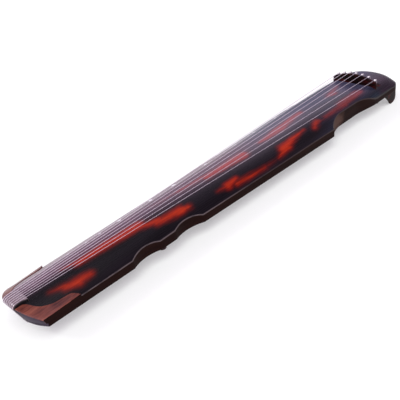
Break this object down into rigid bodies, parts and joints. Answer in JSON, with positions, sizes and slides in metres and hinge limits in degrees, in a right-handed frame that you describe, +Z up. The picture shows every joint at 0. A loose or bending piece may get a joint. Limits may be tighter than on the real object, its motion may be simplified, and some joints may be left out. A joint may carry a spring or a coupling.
{
  "type": "guqin",
  "caption": "Long plucked zither: arched lacquered soundboard on a flat bottom board, tall bridge, silk strings tied to turning pegs, pearl position marks, feet and peg guards.",
  "frame": {"origin": "on the table under the middle of the instrument, between the tail end and the head end", "axes": "+X from the tail towards the head, +Y away from the player to the side with the position marks, +Z up"},
  "size_m": [1.261, 0.1884, 0.1043],
  "materials": {
    "lacquer": "gloss black lacquer over wood with cinnabar-red patches worn through",
    "blackwood": "polished dark hardwood",
    "rosewood": "polished reddish-brown hardwood",
    "softwood": "bare softwood",
    "pearl": null,
    "string_silk": "glued twisted silk",
    "cord_silk": "soft twisted silk cord"
  },
  "bodies": {
    "body": {"soundboard": "lacquer", "bottom_board": "lacquer", "bridge": "blackwood", "eye_strip": "blackwood", "tail_gum": "blackwood", "lower_gum": "blackwood", "crown_corner_far": "rosewood", "crown_corner_near": "rosewood", "hui_01": "pearl", "hui_02": "pearl", "hui_03": "pearl", "hui_04": "pearl", "hui_05": "pearl", "hui_06": "pearl", "hui_07": "pearl", "hui_08": "pearl", "hui_09": "pearl", "hui_10": "pearl", "hui_11": "pearl", "hui_12": "pearl", "hui_13": "pearl", "peg_guard_far": "blackwood", "peg_guard_near": "blackwood", "goose_foot_far": "blackwood", "goose_foot_near": "blackwood", "sky_post": "softwood", "earth_post": "softwood", "string_1": "string_silk", "string_2": "string_silk", "string_3": "string_silk", "string_4": "string_silk", "string_5": "string_silk", "string_6": "string_silk", "string_7": "string_silk", "peg_cord_1": "cord_silk", "peg_cord_2": "cord_silk", "peg_cord_3": "cord_silk", "peg_cord_4": "cord_silk", "peg_cord_5": "cord_silk", "peg_cord_6": "cord_silk", "peg_cord_7": "cord_silk"},
    "peg_1": {"tuning_peg_1": "blackwood"},
    "peg_2": {"tuning_peg_2": "blackwood"},
    "peg_3": {"tuning_peg_3": "blackwood"},
    "peg_4": {"tuning_peg_4": "blackwood"},
    "peg_5": {"tuning_peg_5": "blackwood"},
    "peg_6": {"tuning_peg_6": "blackwood"},
    "peg_7": {"tuning_peg_7": "blackwood"}
  },
  "joints": [
    {"name": "peg_1_turn", "type": "hinge", "parent": "body", "child": "peg_1", "pos_m": [0.5294, 0.0615, 0.03], "axis": [0, 0, 1], "continuous": true},
    {"name": "peg_2_turn", "type": "hinge", "parent": "body", "child": "peg_2", "pos_m": [0.5294, 0.041, 0.03], "axis": [0, 0, 1], "continuous": true},
    {"name": "peg_3_turn", "type": "hinge", "parent": "body", "child": "peg_3", "pos_m": [0.5294, 0.0205, 0.03], "axis": [0, 0, 1], "continuous": true},
    {"name": "peg_4_turn", "type": "hinge", "parent": "body", "child": "peg_4", "pos_m": [0.5294, 0, 0.03], "axis": [0, 0, 1], "continuous": true},
    {"name": "peg_5_turn", "type": "hinge", "parent": "body", "child": "peg_5", "pos_m": [0.5294, -0.0205, 0.03], "axis": [0, 0, 1], "continuous": true},
    {"name": "peg_6_turn", "type": "hinge", "parent": "body", "child": "peg_6", "pos_m": [0.5294, -0.041, 0.03], "axis": [0, 0, 1], "continuous": true},
    {"name": "peg_7_turn", "type": "hinge", "parent": "body", "child": "peg_7", "pos_m": [0.5294, -0.0615, 0.03], "axis": [0, 0, 1], "continuous": true}
  ]
}
